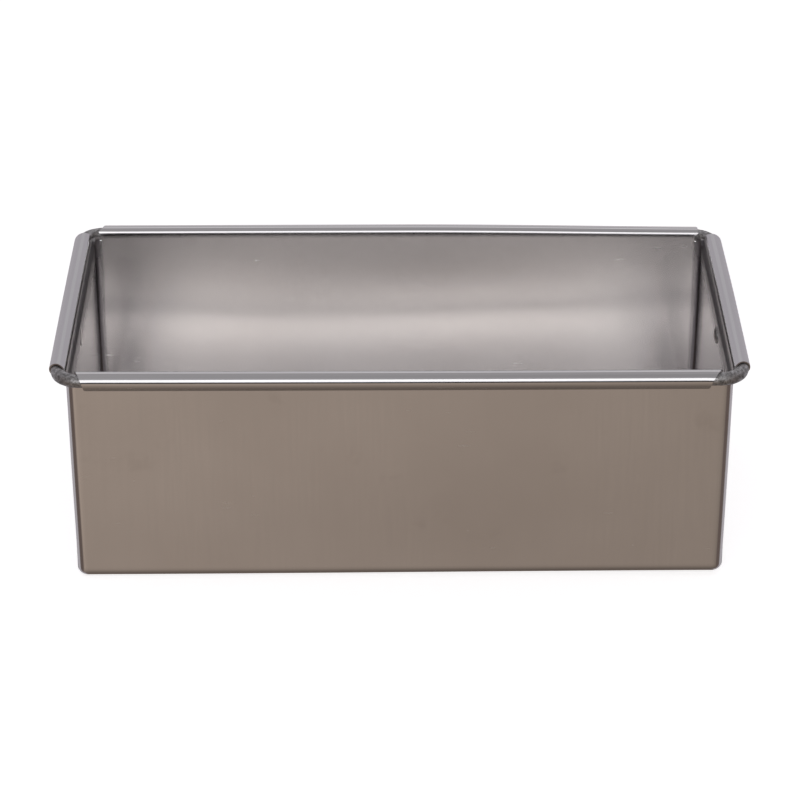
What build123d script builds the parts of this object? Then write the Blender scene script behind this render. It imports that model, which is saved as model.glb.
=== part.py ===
"""Loaf pan: one folded sheet blank, a wire ring rolled into its rim, and one rivet in each end.

Millimetres. The origin is the centre of the footprint, on the surface that the pan stands on.
+X runs along the pan, +Y across it and +Z up. The blank's four corners are folded flat against
the outside of the end walls as pleats, and the pleats lap over each other under one rivet.
"""
import os
from math import atan, degrees, tan

from build123d import *

os.makedirs("parts", exist_ok=True)

# Driving dimensions
inner_length = 228.6          # clear length between the end walls at the rim
inner_width = 114.3           # clear width between the long walls at the rim
height = 84.0                 # from the surface to the top of the rim
flare = 0.8                   # how far each wall leans out from the floor to the rim
sheet = 0.5                   # thickness of the blank
floor_bend = 3.0              # outer radius where the walls turn up from the floor
fold_radius = 3.2             # outer radius where a long wall wraps round into its pleats
seam_radius = 0.9             # inner radius of the vertical corners
hem_diameter = 6.4            # outer diameter of the rolled rim
hem_sweep = 322.0             # degrees that the rim's sheet turns round the wire
wire_diameter = 4.8
wire_bend = 8.0               # radius of the wire's centre line at the corners
wire_lean = 0.2               # how far the loose wire sits outwards in the hem
wire_joint = 1.0              # open butt joint of the wire, hidden in the hem of the far wall
hem_gap = 10.6                # corner to the top of a trimmed hem end, measured along the rim
hem_slant = 2.4               # how much further back the underside of a hem end is trimmed
corner_top = 79.2             # height of the bare corners, which stand inside the wire
corner_reach = 10.2           # how far a bare corner reaches in from the rim's outside, across the end
step_height = 3.6             # rise over which an end wall steps out over its pleats to the hem
step_bend = 0.8               # inner bend radius of that step
overlap = 0.5                 # how far a wall's rim strip reaches down into the wall
pleat_reach = 18.0            # how far each pleat passes the middle of the end wall
end_depth = 8.0               # how far in from an end the folded corners blend into the long walls
toe_width = 5.0               # width of the pressed toe at the foot of each pleat
rivet_offset = -10.0          # the rivet's place across the end wall
rivet_height = 72.5
rivet_shank = 3.0
rivet_head = 6.2
head_edge = 0.3
dome_crown = 0.8              # rise of the right rivet's domed inner head
flush_edge = 0.1
flush_crown = 0.15            # rise of the left rivet's nearly flush inner head
tail_diameter = 5.0
tail_height = 1.1
rivet_clearance = 0.05        # radial clearance of the shank in its hole
margin = 1.0                  # how far the trimming outlines pass below what they trim

# Derived sizes
hem_radius = hem_diameter / 2
hem_z = height - hem_radius
half_length = inner_length / 2
half_width = inner_width / 2
pleat = 2 * sheet
draft = degrees(atan(flare / hem_z))
hem_x = half_length + pleat + hem_radius
hem_y = half_width + hem_radius
wall_top = hem_z - step_height
crossing_z = half_width


def lean(z):
    """How far a wall stands in at height z from its place at the hem."""
    return flare * (1 - z / hem_z)


def flared_block(half_x, half_y, corner, bend, base):
    """A rounded block with the walls' draft, its half sizes given at the rim, its foot at base."""
    with BuildPart() as block:
        with BuildSketch(Plane.XY.offset(base)):
            RectangleRounded(2 * (half_x - lean(base)), 2 * (half_y - lean(base)), corner)
        extrude(amount=corner_top - base, taper=-draft)
        fillet(block.edges().group_by(Axis.Z)[0], bend)
    return block.part


def hem_section(plane, wall, root):
    """The sheet's section, up from the wall and round the wire, on a plane that cuts across the rim.

    wall and root are the distances of the sheet's inner face from the middle of the pan at the
    hem's height, without and with the step in an end wall. A long wall has no step.
    """
    low, high = wall_top - overlap, hem_z - overlap
    foot = wall - lean(low)
    knee = wall - lean(wall_top)
    centre = (root + hem_radius, hem_z)
    hem_bore = hem_radius - sheet
    slope = atan((root - knee) / (high - wall_top))
    shift = sheet * tan(slope / 2)
    with BuildSketch(plane) as section:
        with BuildLine():
            if root > wall:
                FilletPolyline(
                    (foot, low), (knee, wall_top), (root, high), (root, hem_z),
                    radius=[step_bend + sheet, step_bend],
                )
                FilletPolyline(
                    (foot + sheet, low), (knee + sheet, wall_top - shift),
                    (root + sheet, high - shift), (root + sheet, hem_z),
                    radius=[step_bend, step_bend + sheet],
                )
            else:
                Line((foot, low), (root, hem_z))
                Line((foot + sheet, low), (root + sheet, hem_z))
            Line((foot, low), (foot + sheet, low))
            outer_turn = CenterArc(centre, hem_radius, 180, -hem_sweep)
            inner_turn = CenterArc(centre, hem_bore, 180, -hem_sweep)
            Line(outer_turn @ 1, inner_turn @ 1)
        make_face()
    return section.sketch


def in_profile(block, outline):
    """The two ends of a block, cut to an outline that is drawn across the pan."""
    with BuildPart() as ends:
        add(block)
        with BuildSketch(Plane.YZ):
            Polygon(*outline, align=None)
        extrude(amount=2 * hem_x, both=True, mode=Mode.INTERSECT)
        with BuildSketch(Plane.XY):
            Rectangle(2 * (half_length - end_depth), 4 * hem_y)
        extrude(amount=height, mode=Mode.SUBTRACT)
    return ends.part


# The tray: floor and walls, with the bare corners at their full height
tray = flared_block(half_length + sheet, half_width + sheet, fold_radius, floor_bend, 0)
cavity = flared_block(half_length, half_width, seam_radius, floor_bend - sheet, sheet)

# The pleats: both layers of each folded corner, flat on the end walls, with a pressed toe
toe = half_width - toe_width
ear = hem_y + hem_radius - corner_reach
pleats = in_profile(
    flared_block(half_length + 3 * sheet, half_width + sheet, fold_radius, floor_bend, 0),
    [
        (-hem_y, -margin), (-toe, -margin), (-toe, crossing_z - toe), (0, crossing_z),
        (toe, crossing_z - toe), (toe, -margin), (hem_y, -margin), (hem_y, corner_top),
        (ear, corner_top), (ear, wall_top), (-ear, wall_top), (-ear, corner_top), (-hem_y, corner_top),
    ],
)

# Where the two pleats of an end cross, the rear one lies over the front one
lap = in_profile(
    flared_block(half_length + 5 * sheet, half_width + sheet, fold_radius, floor_bend, 0),
    [
        (-pleat_reach, wall_top), (-pleat_reach, crossing_z + pleat_reach), (0, crossing_z),
        (pleat_reach, crossing_z + pleat_reach), (pleat_reach, wall_top),
    ],
)

# The hems: the rim's sheet rolled outwards round the wire on each side, with trimmed ends
with BuildPart() as long_hem:
    add(hem_section(Plane.YZ.offset(-hem_x), half_width, half_width))
    extrude(amount=2 * hem_x, dir=(1, 0, 0))
    with BuildSketch(Plane.XZ):
        reach = hem_x + hem_radius - hem_gap
        Polygon(
            (-reach, height), (-reach + hem_slant, wall_top - margin),
            (reach - hem_slant, wall_top - margin), (reach, height), align=None,
        )
    extrude(amount=2 * hem_y, both=True, mode=Mode.INTERSECT)

with BuildPart() as end_hem:
    add(hem_section(Plane.XZ.offset(-hem_y), half_length, half_length + pleat))
    extrude(amount=2 * hem_y, dir=(0, -1, 0))
    with BuildSketch(Plane.YZ):
        reach = hem_y + hem_radius - hem_gap
        Polygon(
            (-reach, height), (-reach + hem_slant, wall_top - margin),
            (reach - hem_slant, wall_top - margin), (reach, height), align=None,
        )
    extrude(amount=2 * hem_x, both=True, mode=Mode.INTERSECT)

# The rivet's axis is square to the end wall, and starts on the wall's inner face
end_normal = Vector(1, 0, -flare / hem_z).normalized()
rivet_plane = Plane(
    origin=(half_length - lean(rivet_height), rivet_offset, rivet_height),
    x_dir=(0, 1, 0), z_dir=end_normal,
)
grip = sheet + 2 * pleat
with BuildPart() as rivet_hole:
    with BuildSketch(rivet_plane.offset(-grip)):
        Circle(rivet_shank / 2 + rivet_clearance)
    extrude(amount=3 * grip)

# The blank, folded, hemmed and pierced for the two rivets
with BuildPart() as pan_body:
    add(tray)
    add(pleats)
    add(lap)
    add(cavity, mode=Mode.SUBTRACT)
    with BuildSketch(Plane.XY.offset(wall_top)):
        with Locations((-half_length, 0), (half_length, 0)):
            Rectangle(2 * fold_radius, 2 * ear)
    extrude(amount=hem_diameter, mode=Mode.SUBTRACT)
    add(long_hem.part)
    mirror(long_hem.part, about=Plane.XZ)
    add(end_hem.part)
    mirror(end_hem.part, about=Plane.YZ)
    add(rivet_hole.part, mode=Mode.SUBTRACT)
    mirror(rivet_hole.part, about=Plane.YZ, mode=Mode.SUBTRACT)
pan_body.part.label = "pan_body"
export_step(pan_body.part, "parts/pan_body.step")

# The wire: one round bar bent into a ring, its two ends meeting in the far hem
wire_x = hem_x + wire_lean
wire_y = hem_y + wire_lean
with BuildPart() as rim_wire:
    with BuildLine() as ring:
        FilletPolyline(
            (wire_joint / 2, wire_y, hem_z), (wire_x, wire_y, hem_z), (wire_x, -wire_y, hem_z),
            (-wire_x, -wire_y, hem_z), (-wire_x, wire_y, hem_z), (-wire_joint / 2, wire_y, hem_z),
            radius=wire_bend,
        )
    with BuildSketch(Plane(origin=ring.line @ 0, z_dir=ring.line % 0)):
        Circle(wire_diameter / 2)
    sweep()
rim_wire.part.label = "rim_wire"
export_step(rim_wire.part, "parts/rim_wire.step")


# The rivets: a head inside the pan, a shank through the wall and both pleats, a closed tail outside
axis_section = Plane(
    origin=rivet_plane.origin, x_dir=rivet_plane.x_dir, z_dir=rivet_plane.x_dir.cross(rivet_plane.z_dir),
)


def rivet(edge, crown):
    """A rivet in the right end wall, its inner head a low dome that rises by crown from its edge."""
    shank = rivet_shank / 2
    tail = tail_diameter / 2
    head = rivet_head / 2
    tail_edge = grip + tail_height / 3
    tail_crown = tail_height * 2 / 3
    head_dome = (head**2 + crown**2) / (2 * crown)
    tail_dome = (tail**2 + tail_crown**2) / (2 * tail_crown)
    with BuildPart() as turned:
        with BuildSketch(axis_section):
            with BuildLine():
                Polyline((shank, 0), (head, 0), (head, -edge))
                RadiusArc((head, -edge), (0, -edge - crown), head_dome)
                Line((0, -edge - crown), (0, tail_edge + tail_crown))
                RadiusArc((0, tail_edge + tail_crown), (tail, tail_edge), tail_dome)
                Polyline((tail, tail_edge), (tail, grip), (shank, grip), (shank, 0))
            make_face()
        revolve(axis=Axis(rivet_plane.origin, rivet_plane.z_dir))
    return turned.part


with BuildPart() as rivet_right:
    add(rivet(head_edge, dome_crown))
rivet_right.part.label = "rivet_right"
export_step(rivet_right.part, "parts/rivet_right.step")

# The left rivet is the mirror image, with a nearly flush head inside
with BuildPart() as rivet_left:
    mirror(rivet(flush_edge, flush_crown), about=Plane.YZ)
rivet_left.part.label = "rivet_left"
export_step(rivet_left.part, "parts/rivet_left.step")
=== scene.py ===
"""Loaf pan: one sheet blank folded and hemmed round a galvanised wire, with a rivet in each end.

Shapes are worked out in millimetres in the CAD frame and stored in metres. The sheet is one closed
mesh. It has two skins, inner and outer, that share a set of upright columns round the pan.
"""
from math import cos, pi, radians, sin

import bmesh
import bpy
from mathutils import Matrix, Vector, noise


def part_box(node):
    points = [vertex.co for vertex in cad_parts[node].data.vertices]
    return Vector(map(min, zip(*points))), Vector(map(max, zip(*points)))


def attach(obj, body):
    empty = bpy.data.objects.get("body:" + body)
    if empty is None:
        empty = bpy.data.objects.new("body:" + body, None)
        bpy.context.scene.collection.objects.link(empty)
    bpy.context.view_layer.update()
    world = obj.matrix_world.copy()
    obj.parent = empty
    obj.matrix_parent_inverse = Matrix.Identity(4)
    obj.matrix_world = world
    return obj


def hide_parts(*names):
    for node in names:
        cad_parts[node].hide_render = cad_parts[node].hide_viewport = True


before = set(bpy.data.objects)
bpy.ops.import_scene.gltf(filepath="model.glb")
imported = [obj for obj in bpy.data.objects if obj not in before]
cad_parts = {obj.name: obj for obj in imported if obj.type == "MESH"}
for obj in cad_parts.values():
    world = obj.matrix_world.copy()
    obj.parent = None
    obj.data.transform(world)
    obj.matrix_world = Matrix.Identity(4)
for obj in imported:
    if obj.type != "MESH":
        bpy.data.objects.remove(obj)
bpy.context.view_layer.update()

MM = 0.001
body_low, body_high = (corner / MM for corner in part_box("pan_body"))
wire_low, wire_high = (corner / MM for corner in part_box("rim_wire"))

# Sizes of the sheet, in millimetres
SHEET = 0.5
PLEAT = 2 * SHEET
HEM_RADIUS = 3.2
HEM_TURN = 322
FLARE = 0.8
FLOOR_BEND = 3.0
FOLD_RADIUS = 3.2
CORNER_TOP = 79.2
STEP_START = 77.2
STEP_END = 80.3
TOE_WIDTH = 5.0
PLEAT_REACH = 18.0
HEM_Z = body_high.z - HEM_RADIUS
HEM_X = body_high.x - HEM_RADIUS
HEM_Y = body_high.y - HEM_RADIUS
WALL_X = HEM_X - HEM_RADIUS - PLEAT
WALL_Y = HEM_Y - HEM_RADIUS
FLOOR_X = WALL_X + SHEET - FLARE - FLOOR_BEND
FLOOR_Y = WALL_Y + SHEET - FLARE - FLOOR_BEND
FOLD_X = WALL_X + SHEET + PLEAT - FOLD_RADIUS
FOLD_Y = WALL_Y + SHEET - FOLD_RADIUS

# The wire, in millimetres
WIRE_RADIUS = (wire_high.z - wire_low.z) / 2
WIRE_BEND = 8.0
WIRE_JOINT = 1.0
WIRE_X = wire_high.x - WIRE_RADIUS
WIRE_Y = wire_high.y - WIRE_RADIUS
WIRE_Z = wire_high.z - WIRE_RADIUS


def smooth(value):
    """An ease from 0 to 1 as value goes from 0 to 1."""
    value = min(1.0, max(0.0, value))
    return value * value * (3 - 2 * value)


def ripple(x, y, z, wavelength, seed):
    """Smooth noise, from about -1 to 1."""
    return noise.noise(Vector((x, y, z)) / wavelength + Vector((seed, 2 * seed, -seed)))


# How the real pan has settled out of true: lengths in millimetres
BACK_BOW = (0.1, 1.0)     # how far the far wall's left and right ends stand in at the rim
FRONT_BOW = (0.3, 0.3)
END_BOW = 0.15
CORNER_DROP = 1.0         # how much lower the far right corner of the rim is
EDGE_LIFT = 0.85          # how far the right end of the underside clears the surface
BELLY = {"front": 0.4, "back": -0.9, "end": 0.3}   # how far the walls' middles bulge out
DENT = 0.12               # height of the long soft ripples in the sheet
DENT_STRETCH = 0.2        # how slowly the ripples change through a wall, against along it
DENTS_ALONG = (38, 3)     # wavelength and seed of the ripples that move the sheet along the pan
DENTS_ACROSS = (46, 8)    # the same for those that move it across
TIGHT_TURN = 0.6          # power that squares off the far hem's inner top edge
FAR_CORNER_RISE = 2.2     # how much higher the far corners' bare edges stand than the near ones
FAR_CORNER_INSET = 0.4    # how far those edges lean in, clear of the wire
HEM_SAG = 1.15            # how much deeper the near hem's underside hangs than a true round


def near_wall(share):
    """1 at a wall, easing to 0 a quarter of the way in: share is the part of the way out from the middle."""
    return smooth(abs(share) * 4 - 3)


def settle(x, y, z):
    """Where a point of the true shape lies on the real pan, kept inside the CAD sheet's box."""
    along, across, rise = x / body_high.x, y / body_high.y, z / body_high.z
    bow = (BACK_BOW if y > 0 else FRONT_BOW)[0 if x < 0 else 1]
    drop = CORNER_DROP * smooth(along) * smooth(across) * rise
    lift = EDGE_LIFT * smooth((along + 1) / 2) * (1 - rise)
    swell = sin(pi * min(1.0, rise)) ** 2
    x_side, y_side = (1 if x > 0 else -1), (1 if y > 0 else -1)
    long_belly = BELLY["back" if y > 0 else "front"]
    x_belly = BELLY["end"] * swell * (1 - across ** 2) * near_wall(along) * x_side
    y_belly = long_belly * swell * (1 - along ** 2) * near_wall(across) * y_side
    dent_x = DENT * swell * ripple(x * DENT_STRETCH, y, z, *DENTS_ALONG)
    dent_y = DENT * swell * ripple(x, y * DENT_STRETCH, z, *DENTS_ACROSS)
    moved = (
        x - END_BOW * across ** 2 * rise * along + x_belly + dent_x,
        y - bow * along ** 2 * rise * across + y_belly + dent_y,
        z - drop + lift,
    )
    return tuple(min(high, max(low, value)) for value, low, high in zip(moved, body_low, body_high))


SAME_POINT = 0.004        # points closer than this are merged, in millimetres
SHORTEST_EDGE = 0.002     # edges shorter than this are dissolved


def mesh_object(name, points, faces, sharp_angle):
    """A mesh object from points in millimetres, with doubles merged and its faces turned outwards."""
    mesh = bpy.data.meshes.new(name)
    mesh.from_pydata([[value * MM for value in point] for point in points], [], faces)
    shape = bmesh.new()
    shape.from_mesh(mesh)
    bmesh.ops.remove_doubles(shape, verts=shape.verts, dist=SAME_POINT * MM)
    bmesh.ops.dissolve_degenerate(shape, edges=shape.edges, dist=SHORTEST_EDGE * MM)
    bmesh.ops.recalc_face_normals(shape, faces=shape.faces)
    shape.to_mesh(mesh)
    shape.free()
    mesh.shade_smooth()
    mesh.set_sharp_from_angle(angle=radians(sharp_angle))
    made = bpy.data.objects.new(name, mesh)
    bpy.context.scene.collection.objects.link(made)
    return made


# ---------------------------------------------------------------- the folded and hemmed sheet

# Heights of the rows of points up a wall. The step's start is there twice: the end walls' pleats stop
# at the lower of the two rows, in a ledge. The pleats of an end cross at WALL_Y.
WALL_ROWS = [
    3, 4, 5, 6.5, 8.5, 11, 14, 18, 23, 28, 33, 38, 43, 48, 53, 56, WALL_Y, 58.5, 61, 65, 69, 73, 75.5,
    76.6, STEP_START, STEP_START, 77.6, 78.0, 78.4, 78.8, CORNER_TOP,
]
LEDGE_ROW = WALL_ROWS.index(STEP_START)
BEND_STEPS = 6
NECK_STEPS = 2
CURL_STEPS = 44
FLOOR_CROWN = 0.25        # how much higher the middle of the floor stands than its edges

# Hem ends: how far each reaches from the middle of its side, in millimetres, at these turns of the
# hem: where it leaves the wall, its inner flank, its top, its outer flank and its open edge
HEM_TURNS = (0, 30, 90, 180, HEM_TURN)
HEM_ENDS = {
    "front": {-1: (111.6, 112.4, 111.6, 109.6, 107.4), 1: (111.0, 111.6, 110.6, 107.6, 105.2)},
    "back": {-1: (111.9, 112.9, 111.2, 108.6, 107.5), 1: (111.9, 113.4, 113.2, 111.4, 109.5)},
    "left": {-1: (54.2, 56.0, 54.0, 52.2, 50.0), 1: (54.2, 55.8, 54.8, 53.0, 51.0)},
    "right": {-1: (54.2, 55.8, 54.0, 52.4, 50.2), 1: (54.2, 55.8, 55.0, 53.2, 51.2)},
}
LONG_END = 110.0          # place of the last hemmed column of a long wall, before its trim
SIDE_END = 52.0           # place that an end wall's trims are measured from
PAST_HEM = 111.2          # place of a long wall's first bare column
LONG_STEPS = 34           # columns on each half of a long wall's hem
TRIM_START = 55           # height from which the wall below a hem follows its trimmed end
TRIM_SPAN = 26.0          # how far in along a hem its end's trim reaches


def lean(z):
    """How far a wall stands in at height z from its place at the hem."""
    return FLARE * (1 - min(z, HEM_Z) / HEM_Z)


def end_shift(side, place, end, z, turn):
    """How far a point near a hem's end moves along the hem, so that the end has its own trim."""
    direction = 1 if place > 0 else -1
    reaches = HEM_ENDS[side][direction]
    if turn is None:
        reach = reaches[0]
        near = smooth((z - TRIM_START) / (CORNER_TOP - TRIM_START))
    else:
        following = next(number for number, mark in enumerate(HEM_TURNS) if turn <= mark and number)
        share = (turn - HEM_TURNS[following - 1]) / (HEM_TURNS[following] - HEM_TURNS[following - 1])
        reach = reaches[following - 1] + (reaches[following] - reaches[following - 1]) * share
        near = 1
    if abs(place) <= end:
        weight = max(0.0, 1 - (end - abs(place)) / TRIM_SPAN)
    else:
        limit = {LONG_END: FOLD_X, SIDE_END: FOLD_Y}[end]
        weight = (limit - abs(place)) / (limit - end)
    return direction * (reach - end) * near * weight


def long_columns():
    """Places of the upright columns along a long wall."""
    hemmed = [LONG_END * (step / LONG_STEPS - 1) for step in range(2 * LONG_STEPS + 1)]
    return [-FOLD_X, -PAST_HEM] + hemmed + [PAST_HEM, FOLD_X]


def long_point(side, place, z, turn, skin):
    """A point of a long wall: turn is degrees round the hem or None, and skin is 0 inside, 1 outside."""
    direction = -1 if side == "front" else 1
    x = place + end_shift(side, place, LONG_END, z, turn)
    x -= lean(z) * max(0.0, abs(place) - LONG_END) / (FOLD_X - LONG_END) * (1 if place > 0 else -1)
    if turn is None:
        return x, direction * (WALL_Y - lean(z) + skin * SHEET), z
    radius = HEM_RADIUS - skin * SHEET
    out, up = cos(radians(turn)), sin(radians(turn))
    if side == "back" and turn < 90:
        out, up = out ** TIGHT_TURN, up ** TIGHT_TURN
    elif side == "front" and up < 0:
        up *= HEM_SAG
    return x, direction * (HEM_Y - radius * out), HEM_Z + radius * up


# An end wall's columns, from its middle outwards: the middle zone, the folded edge, the pleat.
# The zones are shares of their widths, and the steps of the folded edge are in millimetres.
MIDDLE_ZONE = [0, 0.25, 0.5, 0.75, 0.92]
FOLD_STEPS = [0, 0.03, 0.18, 0.5]
FOLD_RISE = [0, 0.5, 0.86, 1]
LAST_HEMMED = 0.925
PLEAT_ZONE = [0.06, 0.2, 0.36, 0.52, 0.68, 0.82, LAST_HEMMED, 0.96, 1]
HEM_END_STEP = len(MIDDLE_ZONE) + len(FOLD_STEPS) + PLEAT_ZONE.index(LAST_HEMMED)
FADE_COLUMNS = 2          # columns over which an end wall goes from hemmed to bare
LAP_STEPS = [-0.5, -0.18, -0.03, 0]


def end_place(z, step):
    """How far across from an end wall's middle a column is at height z, and how many pleats cover it."""
    crossed = z > WALL_Y
    edge = min(abs(WALL_Y - z), PLEAT_REACH if crossed else WALL_Y - TOE_WIDTH)
    inner = max(0.0, edge + LAP_STEPS[0]) if crossed else edge
    if step < len(MIDDLE_ZONE):
        return MIDDLE_ZONE[step] * inner, (2 if crossed else 0)
    step -= len(MIDDLE_ZONE)
    if step < len(FOLD_STEPS):
        if crossed:
            return max(0.0, edge + LAP_STEPS[step]), 1 + FOLD_RISE[-1 - step]
        return edge + FOLD_STEPS[step], FOLD_RISE[step]
    step -= len(FOLD_STEPS)
    start = edge if crossed else edge + FOLD_STEPS[-1]
    return start + (FOLD_Y - start) * PLEAT_ZONE[step], 1


def end_point(side, step, z, turn, skin, row):
    """A point of an end wall. A negative step is on the near half, a positive one on the far half."""
    direction = -1 if side == "left" else 1
    half = -1 if step < 0 else 1
    number = abs(step) - 1
    across, level = end_place(z, number)
    if z == WALL_Y:
        level = 1
    bare = smooth((number - HEM_END_STEP) / FADE_COLUMNS)
    y = half * across
    if across:
        y += end_shift(side, y, SIDE_END, z, turn)
    y -= half * lean(z) * bare
    if turn is not None:
        radius = HEM_RADIUS - skin * SHEET
        return direction * (HEM_X - radius * cos(radians(turn))), y, HEM_Z + radius * sin(radians(turn))
    step_out = PLEAT * smooth((z - STEP_START) / (STEP_END - STEP_START)) * (1 - bare)
    x = WALL_X - lean(z) + step_out
    if skin:
        x += SHEET
        above = row is not None and row > LEDGE_ROW
        x += level * PLEAT * (bare if above else 1)
    return direction * x, y, z


# A corner's columns, from the long wall round to the end wall. Inside, the long wall's sheet turns
# away and the end wall's folded edge meets it in a narrow groove. Turns are in degrees. The edge's points
# are (distance out from the end wall's inner face, distance past the bend's centre to the long wall).
SEAM_TURN = [14, 28, 43, 58]
NOSE = [(0.36, 1.0), (0.1, 0.55)]
OUTER_TURN = [13, 26, 39, 52, 65, 78]


def corner_point(x_side, y_side, step, z, skin):
    """A point of a bare corner, step counting from the long wall."""
    shift = lean(z)
    if skin:
        angle = radians(OUTER_TURN[step])
        x, y = FOLD_X + FOLD_RADIUS * sin(angle), FOLD_Y + FOLD_RADIUS * cos(angle)
    elif step < len(SEAM_TURN):
        angle = radians(SEAM_TURN[step])
        radius = FOLD_RADIUS - SHEET
        x, y = FOLD_X + radius * sin(angle), FOLD_Y + radius * cos(angle)
    else:
        out, back = NOSE[step - len(SEAM_TURN)]
        x, y = WALL_X + out, FOLD_Y + back
    if y_side > 0:
        raised = smooth((z - STEP_START) / (CORNER_TOP - STEP_START))
        shift += FAR_CORNER_INSET * raised
        z += FAR_CORNER_RISE * raised
    return x_side * (x - shift), y_side * (y - shift), z


def sheet_columns():
    """Every column round the pan, anticlockwise from the near left corner: (kind, arguments)."""
    long_places = long_columns()
    end_steps = list(range(1, len(MIDDLE_ZONE) + len(FOLD_STEPS) + len(PLEAT_ZONE) + 1))
    across = [-step for step in reversed(end_steps)] + end_steps[1:]
    seam = list(range(len(OUTER_TURN)))
    columns = []
    columns += [("long", ("front", place)) for place in long_places]
    columns += [("corner", (1, -1, step)) for step in seam]
    columns += [("end", ("right", step)) for step in across]
    columns += [("corner", (1, 1, step)) for step in reversed(seam)]
    columns += [("long", ("back", place)) for place in reversed(long_places)]
    columns += [("corner", (-1, 1, step)) for step in seam]
    columns += [("end", ("left", step)) for step in reversed(across)]
    columns += [("corner", (-1, -1, step)) for step in reversed(seam)]
    return columns


def column_hemmed(kind, arguments):
    """Whether a column is inside a hem, its ends included."""
    if kind == "long":
        return abs(arguments[1]) <= LONG_END
    if kind == "end":
        return abs(arguments[1]) - 1 <= HEM_END_STEP
    return False


def floor_place(kind, arguments):
    """Where a column meets the flat of the floor."""
    if kind == "long":
        side, place = arguments
        return place * FLOOR_X / FOLD_X, (-1 if side == "front" else 1) * FLOOR_Y
    if kind == "end":
        side, step = arguments
        half = -1 if step < 0 else 1
        across = end_place(WALL_ROWS[0], abs(step) - 1)[0]
        return (-1 if side == "left" else 1) * FLOOR_X, half * across * FLOOR_Y / FOLD_Y
    return arguments[0] * FLOOR_X, arguments[1] * FLOOR_Y


def column_points(kind, arguments, skin):
    """A column's points on one skin: up the bend from the floor, up the wall, and round the hem."""
    def place(z, turn=None, row=None):
        if kind == "long":
            return long_point(*arguments, z, turn, skin)
        if kind == "end":
            return end_point(*arguments, z, turn, skin, row)
        return corner_point(*arguments, z, skin)

    wall = [place(z, None, row) for row, z in enumerate(WALL_ROWS)]
    foot_x, foot_y = floor_place(kind, arguments)
    floor_z = 0 if skin else SHEET
    points = []
    for step in range(BEND_STEPS):
        angle = radians(90 * (1 - step / BEND_STEPS))
        inward = 1 - cos(angle)
        x = wall[0][0] + (foot_x - wall[0][0]) * inward
        y = wall[0][1] + (foot_y - wall[0][1]) * inward
        points.append((x, y, floor_z + (wall[0][2] - floor_z) * (1 - sin(angle))))
    points += wall
    if column_hemmed(kind, arguments):
        leaving = place(HEM_Z, 0)
        for step in range(1, NECK_STEPS):
            share = step / NECK_STEPS
            points.append(tuple(a + (b - a) * share for a, b in zip(wall[-1], leaving)))
        points += [place(HEM_Z, HEM_TURN * step / CURL_STEPS) for step in range(CURL_STEPS + 1)]
    return points


def floor_grid(x_places, y_places, z, crown):
    """Points of the flat floor inside its bends, row by row, with a slight crown in the middle."""
    return [
        (x, y, z + crown * (1 - (x / FLOOR_X) ** 2) * (1 - (y / FLOOR_Y) ** 2))
        for y in y_places for x in x_places
    ]


def build_sheet():
    """The whole folded sheet as one closed mesh."""
    columns = sheet_columns()
    count = len(columns)
    bare = BEND_STEPS + len(WALL_ROWS)
    full = bare + NECK_STEPS - 1 + CURL_STEPS + 1
    points, faces, index = [], [], {}
    for skin in (0, 1):
        for number, (kind, arguments) in enumerate(columns):
            for row, point in enumerate(column_points(kind, arguments, skin)):
                index[skin, number, row] = len(points)
                points.append(point)

    hemmed = [column_hemmed(*column) for column in columns]
    for number in range(count):
        following = (number + 1) % count
        both = hemmed[number] and hemmed[following]
        top = (full if both else bare) - 1
        for skin in (0, 1):
            for row in range(top):
                faces.append([
                    index[skin, number, row], index[skin, following, row],
                    index[skin, following, row + 1], index[skin, number, row + 1],
                ])
        faces.append([
            index[0, number, top], index[0, following, top], index[1, following, top], index[1, number, top],
        ])
        for column, other in ((number, following), (following, number)):
            if hemmed[column] and not hemmed[other]:
                for row in range(bare - 1, full - 1):
                    faces.append([
                        index[0, column, row], index[0, column, row + 1],
                        index[1, column, row + 1], index[1, column, row],
                    ])

    x_places = [floor_place("long", ("front", place))[0] for place in long_columns()]
    end_numbers = [step for kind, (*_, step) in columns if kind == "end"]
    y_places = sorted({floor_place("end", ("right", step))[1] for step in end_numbers})
    x_places = [-FLOOR_X] + x_places[1:-1] + [FLOOR_X]
    y_places = [-FLOOR_Y] + y_places[1:-1] + [FLOOR_Y]
    for skin in (0, 1):
        start = len(points)
        points += floor_grid(x_places, y_places, 0 if skin else SHEET, FLOOR_CROWN)
        width = len(x_places)
        for row in range(len(y_places) - 1):
            for column in range(width - 1):
                corner = start + row * width + column
                faces.append([corner, corner + 1, corner + width + 1, corner + width])
    return [settle(*point) for point in points], faces


sheet_points, sheet_faces = build_sheet()
pan = mesh_object("pan_sheet_folded", sheet_points, sheet_faces, 38)
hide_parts("pan_body")
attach(pan, "root")


# ---------------------------------------------------------------- the wire

WIRE_SIDES = 36
BEND_STOPS = 48           # steps round each bend of the wire
FINE_LENGTH = 8.0         # length at both ends of a straight run, where the wire shows, with close steps
FINE_STEPS = 24
COARSE_STEP = 3           # length of the steps in between, inside the hems
LUMPS = ((0.05, 1.1, 5), (0.06, 3.5, 9))   # height, wavelength and seed of the zinc's lumps
LUMP_ROOM = 0.06          # how far the wire's surface is sunk, to leave room for the lumps


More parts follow.
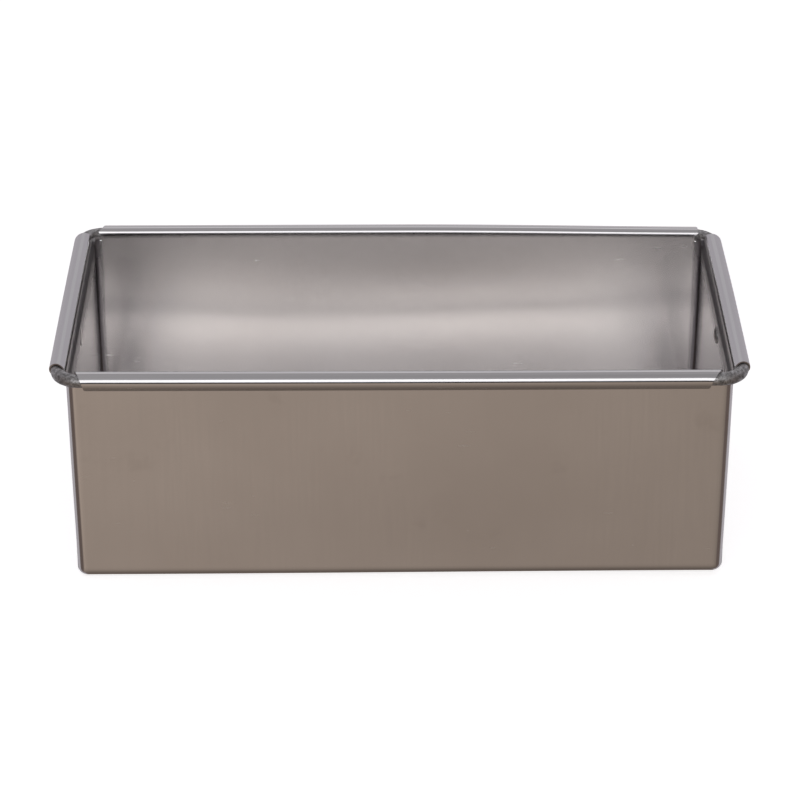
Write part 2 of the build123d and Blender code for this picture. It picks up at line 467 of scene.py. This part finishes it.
def wire_path():
    """Points and directions along the wire, from one end in the far hem round to the other."""
    corners = [(WIRE_X, WIRE_Y), (WIRE_X, -WIRE_Y), (-WIRE_X, -WIRE_Y), (-WIRE_X, WIRE_Y)]
    stops = [(WIRE_JOINT / 2, WIRE_Y)]
    for number, (x, y) in enumerate(corners):
        centre = Vector((x - WIRE_BEND * (1 if x > 0 else -1), y - WIRE_BEND * (1 if y > 0 else -1)))
        start = radians(90 - 90 * number)
        for step in range(BEND_STOPS + 1):
            angle = start - radians(90) * step / BEND_STOPS
            stops.append((centre.x + WIRE_BEND * cos(angle), centre.y + WIRE_BEND * sin(angle)))
    stops.append((-WIRE_JOINT / 2, WIRE_Y))
    path = [Vector(stops[0])]
    for stop in stops[1:]:
        stop = Vector(stop)
        gap = (stop - path[-1]).length
        start = path[-1]
        pieces = max(1, round(gap / COARSE_STEP))
        if gap > 2 * FINE_LENGTH:
            fine = FINE_LENGTH / gap
            middle = 1 - 2 * fine
            shares = [k / FINE_STEPS * FINE_LENGTH / gap for k in range(1, FINE_STEPS + 1)]
            shares += [fine + middle * k / pieces for k in range(1, pieces + 1)]
            shares += [1 - fine * (1 - k / FINE_STEPS) for k in range(1, FINE_STEPS + 1)]
        else:
            shares = [k / pieces for k in range(1, pieces + 1)]
        path += [start.lerp(stop, share) for share in shares]
    return path


def build_wire():
    """The wire as a closed tube with the fine lumps of its zinc coating."""
    path = wire_path()
    points, faces = [], []
    for number, place in enumerate(path):
        before = path[max(0, number - 1)]
        after = path[min(len(path) - 1, number + 1)]
        forward = (after - before).normalized()
        outward = Vector((-forward.y, forward.x))
        for side in range(WIRE_SIDES):
            angle = 2 * pi * side / WIRE_SIDES
            x = place.x + outward.x * cos(angle) * WIRE_RADIUS
            y = place.y + outward.y * cos(angle) * WIRE_RADIUS
            z = WIRE_Z + sin(angle) * WIRE_RADIUS
            lumps = (size * ripple(x, y, z, wavelength, seed) for size, wavelength, seed in LUMPS)
            lump = sum(lumps) - LUMP_ROOM
            radial = 1 + lump / WIRE_RADIUS
            x = place.x + (x - place.x) * radial
            y = place.y + (y - place.y) * radial
            z = WIRE_Z + (z - WIRE_Z) * radial
            points.append(settle(x, y, z))
    for number in range(len(path) - 1):
        for side in range(WIRE_SIDES):
            following = (side + 1) % WIRE_SIDES
            faces.append([
                number * WIRE_SIDES + side, number * WIRE_SIDES + following,
                (number + 1) * WIRE_SIDES + following, (number + 1) * WIRE_SIDES + side,
            ])
    last = (len(path) - 1) * WIRE_SIDES
    faces.append(list(range(WIRE_SIDES)))
    faces.append(list(range(last, last + WIRE_SIDES)))
    return points, faces


wire_points, wire_faces = build_wire()
wire = mesh_object("rim_wire_galvanised", wire_points, wire_faces, 50)
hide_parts("rim_wire")
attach(wire, "root")


# ---------------------------------------------------------------- materials

def material(name):
    """A new node material, its node tree and its Principled shader."""
    made = bpy.data.materials.new(name)
    made.use_nodes = True
    return made, made.node_tree, made.node_tree.nodes["Principled BSDF"]


def node(tree, kind, **values):
    """A new node, with its properties set by name and its inputs by number."""
    made = tree.nodes.new(kind)
    for key, value in values.items():
        if key.startswith("in"):
            made.inputs[int(key[2:])].default_value = value
        else:
            setattr(made, key, value)
    return made


def scaled(tree, scale, offset=(0, 0, 0)):
    """The object's own coordinates in metres, moved and scaled."""
    place = node(tree, "ShaderNodeTexCoord")
    mapping = node(tree, "ShaderNodeMapping", in1=offset, in3=scale)
    tree.links.new(place.outputs["Object"], mapping.inputs[0])
    return mapping.outputs[0]


def noise_of(tree, scale, detail, roughness, offset=(0, 0, 0), stretch=(1, 1, 1)):
    """A noise texture's value at a scale per metre, stretched along the axes."""
    texture = node(tree, "ShaderNodeTexNoise")
    texture.inputs["Scale"].default_value = 1.0
    texture.inputs["Detail"].default_value = detail
    texture.inputs["Roughness"].default_value = roughness
    size = tuple(scale * part for part in stretch)
    tree.links.new(scaled(tree, size, offset), texture.inputs["Vector"])
    return texture.outputs["Fac"]


def ramp(tree, value, stops):
    """A value through a colour ramp: stops are (place, grey or colour)."""
    made = node(tree, "ShaderNodeValToRGB")
    elements = made.color_ramp.elements
    while len(elements) < len(stops):
        elements.new(0.5)
    for element, (place, colour) in zip(elements, stops):
        element.position = place
        element.color = (*((colour,) * 3 if isinstance(colour, (int, float)) else colour), 1)
    tree.links.new(value, made.inputs[0])
    return made.outputs[0]


def calc(tree, operation, first, second=None):
    """A maths node on two values."""
    made = node(tree, "ShaderNodeMath", operation=operation)
    for number, value in enumerate((first, second)):
        if value is None:
            continue
        if isinstance(value, (int, float)):
            made.inputs[number].default_value = value
        else:
            tree.links.new(value, made.inputs[number])
    return made.outputs[0]


def mix(tree, factor, first, second, blend="MIX"):
    """A colour mix. The two colours are sockets or tuples."""
    made = node(tree, "ShaderNodeMix", data_type="RGBA", blend_type=blend)
    for number, value in ((0, factor), (6, first), (7, second)):
        if isinstance(value, bpy.types.NodeSocket):
            tree.links.new(value, made.inputs[number])
        elif number == 0:
            made.inputs[0].default_value = value
        else:
            made.inputs[number].default_value = (*value, 1)
    return made.outputs[2]


def bump(tree, height, distance, strength=1.0, normal=None):
    """A bump normal from a height value, distance in metres."""
    made = node(tree, "ShaderNodeBump", in0=strength, in1=distance)
    tree.links.new(height, made.inputs["Height"])
    if normal is not None:
        tree.links.new(normal, made.inputs["Normal"])
    return made.outputs[0]


def inner_faces(tree):
    """1 on the faces that look in towards the middle of the pan, 0 on the outside and the floor."""
    geometry = node(tree, "ShaderNodeNewGeometry")
    level = node(tree, "ShaderNodeVectorMath", operation="MULTIPLY", in1=(-1, -1, 0))
    tree.links.new(geometry.outputs["Normal"], level.inputs[0])
    facing = node(tree, "ShaderNodeVectorMath", operation="DOT_PRODUCT")
    tree.links.new(level.outputs[0], facing.inputs[0])
    tree.links.new(geometry.outputs["Position"], facing.inputs[1])
    return ramp(tree, facing.outputs["Value"], [(0.005, 0.0), (0.02, 1.0)])


# Base colours of the sheet. The inner faces' painted light, the inner ends' painted shade and the hems'
# painted
# shade are not real coatings: they were adjusted until the pan's colours came near the photo's.
TIN_DARK = (0.79, 0.77, 0.757)
TIN_LIGHT = (0.86, 0.845, 0.835)
TIN_STREAK = (0.77, 0.76, 0.75)
TIN_SMUDGE = (0.55, 0.52, 0.50)
TIN_SCRATCH = (1.0, 1.0, 1.0)
INNER_PAINTED_LIGHT_MIDDLE = (0.90, 0.883, 0.871)
INNER_PAINTED_LIGHT_ENDS = (0.97, 0.955, 0.945)
INNER_END_PAINTED_SHADE = (0.27, 0.26, 0.27)
HEM_PAINTED_SHADE = (0.72, 0.71, 0.715)

# Ramps take values from 0 to 1, so places in metres are scaled by these to fit one
ALONG_SCALE = 8
HEIGHT_SCALE = 10


def at_distance(millimetres):
    """The place on a ramp of a distance along the pan from its middle."""
    return millimetres * MM * ALONG_SCALE


def at_height(millimetres):
    """The place on a ramp of a height above the surface."""
    return millimetres * MM * HEIGHT_SCALE


def satin_sheet():
    """Satin tinned sheet: rolling grain, soft smudges, a few handling scratches, painted light on the inner
    faces and painted shade on the inner ends and hems.
    """
    made, tree, shader = material("satin_sheet")
    grain = noise_of(tree, scale=2600, detail=2, roughness=0.6, stretch=(1, 1, 0.02))
    streak = noise_of(tree, scale=900, detail=4, roughness=0.6, stretch=(1, 1, 0.04), offset=(3, 1, 0))
    cloud = noise_of(tree, scale=16, detail=4, roughness=0.55, offset=(5, 2, 9))
    smudge = noise_of(tree, scale=55, detail=3, roughness=0.6, offset=(1, 7, 3))
    smudge = ramp(tree, smudge, [(0.62, 0.0), (0.8, 1.0)])
    patches = noise_of(tree, scale=22, detail=2, roughness=0.5, offset=(8, 3, 5))
    patches = ramp(tree, patches, [(0.5, 0.0), (0.6, 1.0)])
    scratch = noise_of(tree, scale=1300, detail=1, roughness=0.5, stretch=(0.08, 0.08, 1))
    scratch = ramp(tree, scratch, [(0.73, 0.0), (0.77, 1.0)])

    # Masks: 1 where each zone of the sheet is
    split = node(tree, "ShaderNodeSeparateXYZ")
    tree.links.new(scaled(tree, (ALONG_SCALE, ALONG_SCALE, HEIGHT_SCALE)), split.inputs[0])
    along, _, height = split.outputs
    distance = calc(tree, "ABSOLUTE", along)
    above_floor = ramp(tree, height, [(at_height(6), 0.0), (at_height(10), 1.0)])
    near_end = ramp(tree, distance, [
        (at_distance(75), 0.0), (at_distance(111.25), 0.04), (at_distance(112.5), 1.0),
    ])
    in_hem = ramp(tree, height, [(at_height(80.2), 0.0), (at_height(81.2), 1.0)])
    below_hem = calc(tree, "SUBTRACT", 1.0, in_hem)
    inside = inner_faces(tree)
    neck = ramp(tree, height, [
        (at_height(68), 0.0), (at_height(80), 1.0), (at_height(81.5), 1.0), (at_height(82.5), 0.0),
    ])
    neck = calc(tree, "MULTIPLY", neck, inside)
    # Painted shade: the inside of each end wall, below its hem, is darkened.
    end_wall_painted_shade = calc(tree, "MULTIPLY", inside, near_end)
    end_wall_painted_shade = calc(tree, "MULTIPLY", end_wall_painted_shade, below_hem)
    for zone in (patches, above_floor, below_hem):
        scratch = calc(tree, "MULTIPLY", scratch, zone)

    tone = ramp(tree, cloud, [(0.3, TIN_DARK), (0.7, TIN_LIGHT)])
    tone = mix(tree, ramp(tree, streak, [(0.35, 0.0), (0.75, 0.3)]), tone, TIN_STREAK)
    tone = mix(tree, calc(tree, "MULTIPLY", smudge, 0.25), tone, TIN_SMUDGE)
    # Painted light: the inner faces are lighter than the outside, and lighter still towards the ends.
    inner_painted_light = ramp(tree, distance, [
        (at_distance(68.75), INNER_PAINTED_LIGHT_MIDDLE), (at_distance(107.5), INNER_PAINTED_LIGHT_ENDS),
    ])
    tone = mix(tree, inside, tone, inner_painted_light)
    # Painted shade on the inner end walls.
    tone = mix(tree, end_wall_painted_shade, tone, INNER_END_PAINTED_SHADE)
    # Painted shade: the hems are darkened, which dims their highlights.
    tone = mix(tree, in_hem, tone, HEM_PAINTED_SHADE)
    tone = mix(tree, calc(tree, "MULTIPLY", scratch, 0.5), tone, TIN_SCRATCH)
    tree.links.new(tone, shader.inputs["Base Color"])
    shader.inputs["Metallic"].default_value = 1.0

    rough = 0.10
    for zone, amount in ((cloud, 0.06), (grain, 0.05), (in_hem, -0.05), (scratch, 0.25)):
        rough = calc(tree, "ADD", rough, calc(tree, "MULTIPLY", zone, amount))
    neck_rough = calc(tree, "ADD", calc(tree, "MULTIPLY", near_end, 0.22), 0.08)
    rough = calc(tree, "ADD", rough, calc(tree, "MULTIPLY", neck, neck_rough))
    tree.links.new(rough, shader.inputs["Roughness"])

    waves = noise_of(tree, scale=110, detail=2, roughness=0.5, offset=(4, 4, 1))
    normal = bump(tree, grain, distance=0.003 * MM, strength=0.5)
    normal = bump(tree, waves, distance=0.02 * MM, strength=0.3, normal=normal)
    tree.links.new(normal, shader.inputs["Normal"])
    return made


ZINC_DARK = (0.20, 0.197, 0.19)
ZINC_MIDDLE = (0.45, 0.445, 0.44)
ZINC_LIGHT = (0.75, 0.75, 0.75)
ZINC_SPECK = (0.08, 0.075, 0.07)


def zinc_wire():
    """Galvanised wire: dull mottled zinc with darker specks."""
    made, tree, shader = material("zinc_wire")
    mottle = noise_of(tree, scale=900, detail=4, roughness=0.65)
    specks = noise_of(tree, scale=2600, detail=2, roughness=0.6, offset=(2, 2, 2))
    specks = ramp(tree, specks, [(0.55, 0.0), (0.68, 1.0)])
    tone = ramp(tree, mottle, [(0.3, ZINC_DARK), (0.5, ZINC_MIDDLE), (0.72, ZINC_LIGHT)])
    tone = mix(tree, calc(tree, "MULTIPLY", specks, 0.6), tone, ZINC_SPECK)
    tree.links.new(tone, shader.inputs["Base Color"])
    shader.inputs["Metallic"].default_value = 1.0
    tree.links.new(ramp(tree, mottle, [(0.3, 0.62), (0.75, 0.36)]), shader.inputs["Roughness"])
    tree.links.new(bump(tree, mottle, distance=0.12 * MM, strength=0.8), shader.inputs["Normal"])
    return made


RIVET_DARK = (0.50, 0.48, 0.46)
RIVET_LIGHT = (0.74, 0.73, 0.72)


def rivet_metal():
    """Soft aluminium rivet: satin, with fine tool marks."""
    made, tree, shader = material("rivet_metal")
    marks = noise_of(tree, scale=1500, detail=4, roughness=0.6)
    tone = ramp(tree, marks, [(0.3, RIVET_DARK), (0.75, RIVET_LIGHT)])
    tree.links.new(tone, shader.inputs["Base Color"])
    shader.inputs["Metallic"].default_value = 1.0
    tree.links.new(ramp(tree, marks, [(0.3, 0.4), (0.7, 0.24)]), shader.inputs["Roughness"])
    tree.links.new(bump(tree, marks, distance=0.05 * MM, strength=0.5), shader.inputs["Normal"])
    return made


def dress(target, made):
    """Gives an object one material."""
    target.data.materials.clear()
    target.data.materials.append(made)


dress(pan, satin_sheet())
dress(wire, zinc_wire())
rivet_finish = rivet_metal()
for rivet in ("rivet_left", "rivet_right"):
    dress(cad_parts[rivet], rivet_finish)


# ---------------------------------------------------------------- floor, light and camera

FLOOR_SIZE = 12.0         # metres
FLOOR_GLOW = 0.70         # light that the floor gives off, so that it comes out nearly white


def make_floor():
    """A plain pale floor. Glossy rays pass it by, so that it doesn't glare in the satin walls."""
    half = FLOOR_SIZE / 2
    corners = [(-half, -half, 0), (half, -half, 0), (half, half, 0), (-half, half, 0)]
    mesh = bpy.data.meshes.new("floor")
    mesh.from_pydata(corners, [], [[0, 1, 2, 3]])
    floor = bpy.data.objects.new("floor", mesh)
    bpy.context.scene.collection.objects.link(floor)
    floor.visible_glossy = False
    made, tree, shader = material("pale_floor")
    shader.inputs["Base Color"].default_value = (0.9, 0.9, 0.9, 1)
    shader.inputs["Roughness"].default_value = 0.9
    shader.inputs["Emission Color"].default_value = (1, 1, 1, 1)
    shader.inputs["Emission Strength"].default_value = FLOOR_GLOW
    dress(floor, made)


# What the studio shows in front of the pan and behind it, from straight down (0) through the horizon
# (0.5) to straight up (1). It is not the photo's own studio: its zones were adjusted until the pan's
# colours came near the photo's. In front there is a dark gap between the warm table and the cool room.
FRONT_ROOM = [
    (0.0, (0.16, 0.13, 0.112)), (0.18, (0.31, 0.252, 0.215)), (0.30, (0.445, 0.366, 0.31)),
    (0.39, (0.46, 0.378, 0.32)), (0.42, (0.03, 0.028, 0.028)), (0.495, (0.03, 0.028, 0.028)),
    (0.52, (0.40, 0.40, 0.43)), (0.78, (0.62, 0.61, 0.63)), (0.90, (0.44, 0.43, 0.44)),
]
BACK_ROOM = [
    (0.0, (0.13, 0.105, 0.09)), (0.25, (0.325, 0.265, 0.222)), (0.42, (0.36, 0.30, 0.26)),
    (0.49, (0.34, 0.32, 0.33)), (0.53, (0.44, 0.43, 0.45)), (0.57, (0.66, 0.64, 0.66)),
    (0.65, (0.66, 0.64, 0.66)), (0.69, (0.49, 0.48, 0.50)), (0.78, (0.51, 0.50, 0.52)),
    (0.82, (0.80, 0.78, 0.80)), (0.86, (0.74, 0.72, 0.74)), (0.91, (0.38, 0.37, 0.38)),
]
FRONT_SIDES = (0.13, 0.10, 0.09)
BACK_SIDES = (0.45, 0.43, 0.46)
SLANT = 1.6               # how quickly the front of the room dims from left to right
RIGHT_DIMMING = 0.62      # how bright its right side is, against its left


def make_world():
    """A studio: a warm dim front with a dark gap at its horizon, a cooler room above, a paler back."""
    world = bpy.data.worlds.new("studio")
    bpy.context.scene.world = world
    world.use_nodes = True
    tree = world.node_tree
    place = node(tree, "ShaderNodeTexCoord")
    split = node(tree, "ShaderNodeSeparateXYZ")
    tree.links.new(place.outputs["Generated"], split.inputs[0])
    x, y, z = split.outputs
    height = calc(tree, "ADD", calc(tree, "MULTIPLY", z, 0.5), 0.5)
    aside = calc(tree, "ABSOLUTE", x)
    across = calc(tree, "ADD", calc(tree, "MULTIPLY", x, SLANT), 0.5)
    depth = calc(tree, "ADD", calc(tree, "MULTIPLY", y, 0.5), 0.5)

    front = ramp(tree, height, FRONT_ROOM)
    dimming = ramp(tree, across, [(0.0, 1.0), (1.0, RIGHT_DIMMING)])
    front = mix(tree, 1.0, front, dimming, "MULTIPLY")
    front = mix(tree, ramp(tree, aside, [(0.42, 0.0), (0.60, 1.0)]), front, FRONT_SIDES)
    back = ramp(tree, height, BACK_ROOM)
    back = mix(tree, ramp(tree, aside, [(0.12, 0.0), (0.2, 1.0)]), back, BACK_SIDES)
    behind = ramp(tree, depth, [(0.44, 0.0), (0.54, 1.0)])
    tree.links.new(mix(tree, behind, front, back), tree.nodes["Background"].inputs["Color"])


LIGHT_AIM = Vector((0, 0, 0.04))     # what a light looks at, in metres: about the middle of the pan


def soft_light(name, azimuth, elevation, distance, width, height, power, colour):
    """A soft box that looks at the pan from a direction: azimuth 0 is in front, 90 to the right.

    Angles are in degrees, lengths in metres and the power in watts.
    """
    light = bpy.data.lights.new(name, "AREA")
    light.shape = "RECTANGLE"
    light.size, light.size_y = width, height
    light.energy = power
    light.color = colour
    lamp = bpy.data.objects.new(name, light)
    bpy.context.scene.collection.objects.link(lamp)
    away = Vector((
        sin(radians(azimuth)) * cos(radians(elevation)), -cos(radians(azimuth)) * cos(radians(elevation)),
        sin(radians(elevation)),
    ))
    lamp.location = LIGHT_AIM + away * distance
    lamp.rotation_euler = (-away).to_track_quat("-Z", "Y").to_euler()
    lamp.visible_camera = False


# The camera, from a fit to the pan's outlines in the photo
CAMERA_PLACE = (-5.759, -1028.795, 583.877)    # millimetres
CAMERA_LENS = 142.62
CAMERA_SENSOR = 36
CAMERA_YAW = -0.341                            # degrees, as are the next two
CAMERA_PITCH = 27.81
CAMERA_ROLL = -0.041


def make_camera():
    """The camera, where the pan was seen from."""
    data = bpy.data.cameras.new("camera")
    data.lens = CAMERA_LENS
    data.sensor_width = CAMERA_SENSOR
    camera = bpy.data.objects.new("camera", data)
    bpy.context.scene.collection.objects.link(camera)
    camera.location = Vector(CAMERA_PLACE) * MM
    yaw = Matrix.Rotation(radians(CAMERA_YAW), 3, "Z")
    pitch = Matrix.Rotation(radians(90 - CAMERA_PITCH), 3, "X")
    roll = Matrix.Rotation(radians(CAMERA_ROLL), 3, "Z")
    camera.rotation_euler = (yaw @ pitch @ roll).to_euler()
    bpy.context.scene.camera = camera


make_floor()
make_world()
soft_light(
    name="front_box", azimuth=0, elevation=21, distance=2.2, width=2.6, height=1.05, power=9.2,
    colour=(1.0, 0.99, 1.0),
)
make_camera()
bpy.context.scene.view_settings.view_transform = "Standard"
